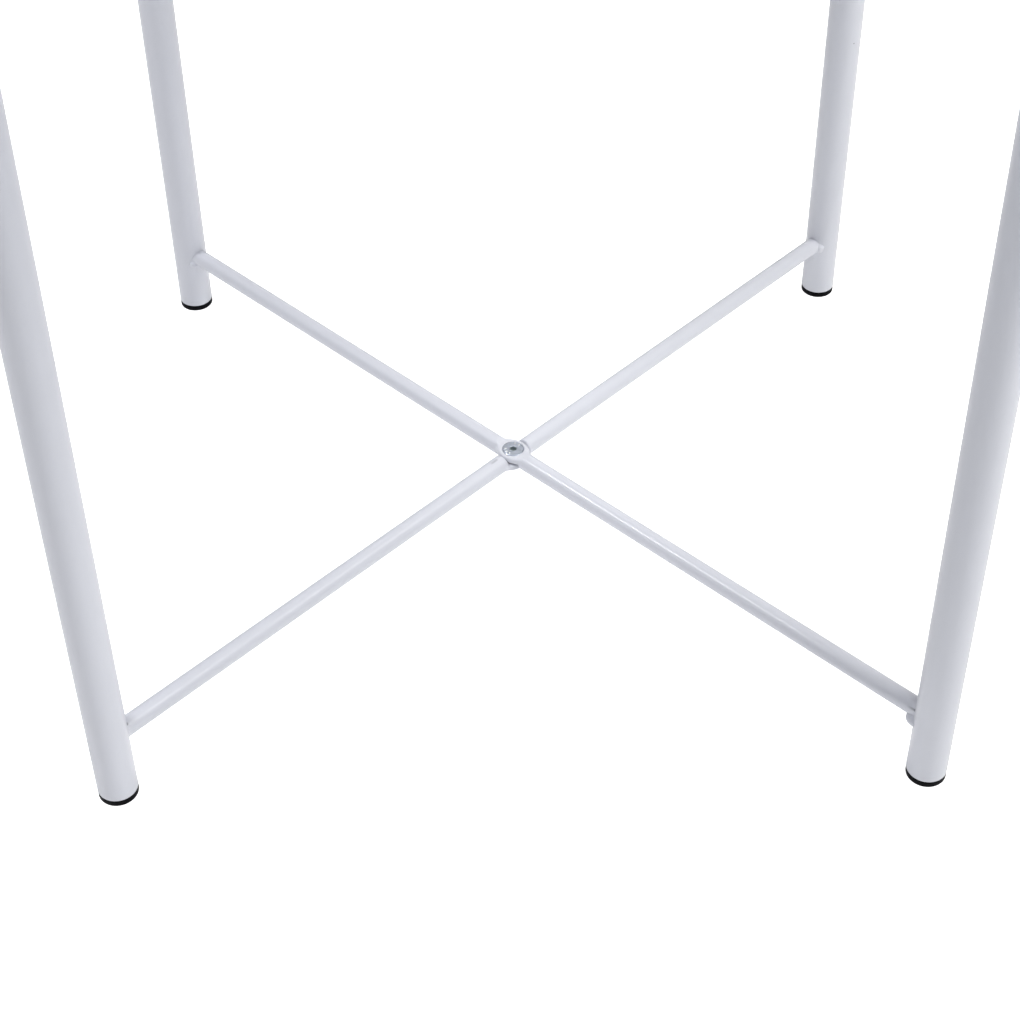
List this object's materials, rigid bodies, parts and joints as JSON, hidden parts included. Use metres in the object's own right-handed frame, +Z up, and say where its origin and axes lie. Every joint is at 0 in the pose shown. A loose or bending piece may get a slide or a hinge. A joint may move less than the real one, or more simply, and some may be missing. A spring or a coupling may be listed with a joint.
{
  "type": "folding side table",
  "caption": "Folding side table: two crossed frames of thin steel tube that scissor about an upright axis, and a lift-off round tray with a raised rim.",
  "frame": {"origin": "on the floor, on the upright axis that the two leg frames fold about", "axes": "+Z up; +X to the right and +Y away from someone who faces the table square on; each leg frame lies along a diagonal between X and Y"},
  "size_m": [0.4626, 0.4626, 0.523],
  "materials": {
    "white_paint": "gloss white powder coat on steel",
    "black_plastic": "moulded, satin",
    "zinc": "bright zinc plate",
    "nylon": "natural, satin"
  },
  "bodies": {
    "frame_over": {"leg_front_right": "white_paint", "foot_plug_front_right": "black_plastic", "top_plug_front_right": "black_plastic", "leg_back_left": "white_paint", "foot_plug_back_left": "black_plastic", "top_plug_back_left": "black_plastic", "lower_brace_over": "white_paint", "upper_brace_over": "white_paint"},
    "frame_under": {"leg_back_right": "white_paint", "foot_plug_back_right": "black_plastic", "top_plug_back_right": "black_plastic", "leg_front_left": "white_paint", "foot_plug_front_left": "black_plastic", "top_plug_front_left": "black_plastic", "lower_brace_under": "white_paint", "upper_brace_under": "white_paint", "lower_pivot_screw": "zinc", "lower_pivot_insert": "zinc", "lower_pivot_washer": "nylon", "upper_pivot_screw": "zinc", "upper_pivot_insert": "zinc", "upper_pivot_washer": "nylon"},
    "tray": {"tray_floor": "white_paint", "tray_band": "white_paint"}
  },
  "joints": [
    {"name": "frame_fold", "type": "hinge", "parent": "frame_over", "child": "frame_under", "pos_m": [0, 0, 0], "axis": [0, 0, 1], "range_deg": [-24, 24]},
    {"name": "tray_lift", "type": "slide", "parent": "frame_over", "child": "tray", "axis": [0, 0, 1], "range_m": [0, 0.15]}
  ]
}
